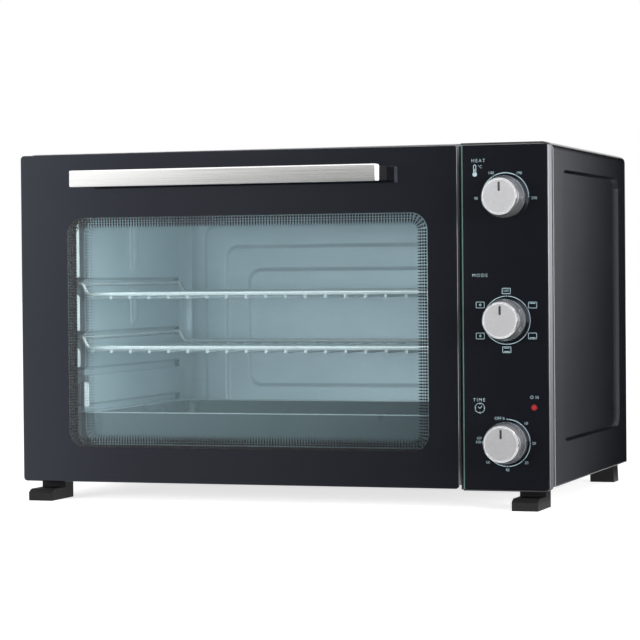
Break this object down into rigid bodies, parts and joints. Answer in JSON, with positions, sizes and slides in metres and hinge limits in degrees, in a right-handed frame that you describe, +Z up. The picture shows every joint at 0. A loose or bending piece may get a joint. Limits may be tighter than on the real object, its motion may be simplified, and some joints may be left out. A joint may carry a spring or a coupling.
{
  "type": "toaster oven",
  "caption": "Bench-top toaster oven with a drop-down glass door, bar handle, control panel with turning knobs, and wire racks and trays that slide on the oven walls.",
  "frame": {"origin": "on the table under the middle of the whole oven's box", "axes": "+X to the oven's right as seen from its front, +Y to its back, +Z up"},
  "size_m": [0.574, 0.416, 0.367],
  "materials": {
    "black_casing_paint": "semi-gloss black enamel on sheet steel",
    "cavity_steel": "satin aluminised steel sheet",
    "door_glass": "tinted clear glass with a black printed border",
    "inner_glass": "plain clear glass",
    "panel_glass": "black-backed polished glass with pale print",
    "black_plastic": "fine-grained black plastic",
    "unit_plastic": "moulded electrical plastic",
    "red_lens": "clear red plastic",
    "zinc_steel": "zinc-plated steel",
    "heater_steel": "heat-darkened stainless tube",
    "ceramic": "white ceramic",
    "fan_aluminium": "plain aluminium sheet",
    "door_steel": "satin steel sheet",
    "handle_steel": "lengthwise brushed stainless steel",
    "knob_chrome": "bright chrome on plastic",
    "knob_satin": "satin spun aluminium",
    "rack_chrome": "bright chromed wire",
    "dark_enamel": "dark enamelled steel"
  },
  "bodies": {
    "casing": {"outer_housing": "black_casing_paint", "base_panel": "black_casing_paint", "back_panel": "black_casing_paint", "front_frame": "cavity_steel", "cavity_left_wall": "cavity_steel", "cavity_right_wall": "cavity_steel", "cavity_roof": "cavity_steel", "cavity_floor": "cavity_steel", "cavity_back_wall": "cavity_steel", "control_bezel": "black_plastic", "control_glass": "panel_glass", "thermostat": "unit_plastic", "function_switch": "unit_plastic", "timer_unit": "unit_plastic", "power_lamp_lens": "red_lens", "power_lamp_holder": "black_plastic", "front_screws": "zinc_steel", "upper_front_heater": "heater_steel", "upper_rear_heater": "heater_steel", "lower_front_heater": "heater_steel", "lower_rear_heater": "heater_steel", "heater_insulators": "ceramic", "fan_housing": "cavity_steel", "fan_motor": "zinc_steel", "front_left_foot": "black_plastic", "front_right_foot": "black_plastic", "rear_left_foot": "black_plastic", "rear_right_foot": "black_plastic", "foot_screws": "zinc_steel", "casing_screws": "zinc_steel", "cord_gland": "black_plastic", "terminal_block": "unit_plastic", "thermal_cutout": "unit_plastic", "wiring_harness": "unit_plastic", "hinge_brackets": "zinc_steel"},
    "door": {"door_glass": "door_glass", "door_inner_glass": "inner_glass", "door_frame": "door_steel", "handle_bar": "handle_steel", "left_handle_bracket": "black_plastic", "right_handle_bracket": "black_plastic", "handle_screws": "zinc_steel", "hinge_knuckles": "zinc_steel", "hinge_pins": "zinc_steel"},
    "temperature_dial": {"temperature_knob": "knob_chrome", "temperature_knob_cap": "knob_satin", "temperature_shaft": "zinc_steel"},
    "function_dial": {"function_knob": "knob_chrome", "function_knob_cap": "knob_satin", "function_shaft": "zinc_steel"},
    "timer_dial": {"timer_knob": "knob_chrome", "timer_knob_cap": "knob_satin", "timer_shaft": "zinc_steel"},
    "fan": {"fan_wheel": "fan_aluminium", "fan_shaft": "zinc_steel"},
    "upper_rack": {"upper_rack_frame": "rack_chrome", "upper_rack_wires": "rack_chrome"},
    "lower_rack": {"lower_rack_frame": "rack_chrome", "lower_rack_wires": "rack_chrome"},
    "baking_tray": {"baking_tray": "dark_enamel"},
    "crumb_tray": {"crumb_tray": "cavity_steel"}
  },
  "joints": [
    {"name": "door_drop", "type": "hinge", "parent": "casing", "child": "door", "pos_m": [0, -0.16, 0.028], "axis": [1, 0, 0], "range_deg": [0, 85], "stiffness_Nm_per_rad": 1, "springref_deg": -34.38},
    {"name": "temperature_turn", "type": "hinge", "parent": "casing", "child": "temperature_dial", "pos_m": [0.2428, -0.17, 0.312], "axis": [0, 1, 0], "range_deg": [-90, 90]},
    {"name": "function_turn", "type": "hinge", "parent": "casing", "child": "function_dial", "pos_m": [0.2428, -0.17, 0.1896], "axis": [0, 1, 0], "range_deg": [0, 300]},
    {"name": "timer_turn", "type": "hinge", "parent": "casing", "child": "timer_dial", "pos_m": [0.2428, -0.17, 0.0672], "axis": [0, 1, 0], "range_deg": [0, 270]},
    {"name": "fan_spin", "type": "hinge", "parent": "casing", "child": "fan", "pos_m": [0.18, -0.0024, 0.286], "axis": [1, 0, 0], "continuous": true},
    {"name": "upper_rack_slide", "type": "slide", "parent": "casing", "child": "upper_rack", "axis": [0, -1, 0], "range_m": [0, 0.008]},
    {"name": "lower_rack_slide", "type": "slide", "parent": "casing", "child": "lower_rack", "axis": [0, -1, 0], "range_m": [0, 0.008]},
    {"name": "baking_tray_slide", "type": "slide", "parent": "casing", "child": "baking_tray", "axis": [0, -1, 0], "range_m": [0, 0.007]},
    {"name": "crumb_tray_slide", "type": "slide", "parent": "casing", "child": "crumb_tray", "axis": [0, -1, 0], "range_m": [0, 0.007]}
  ]
}
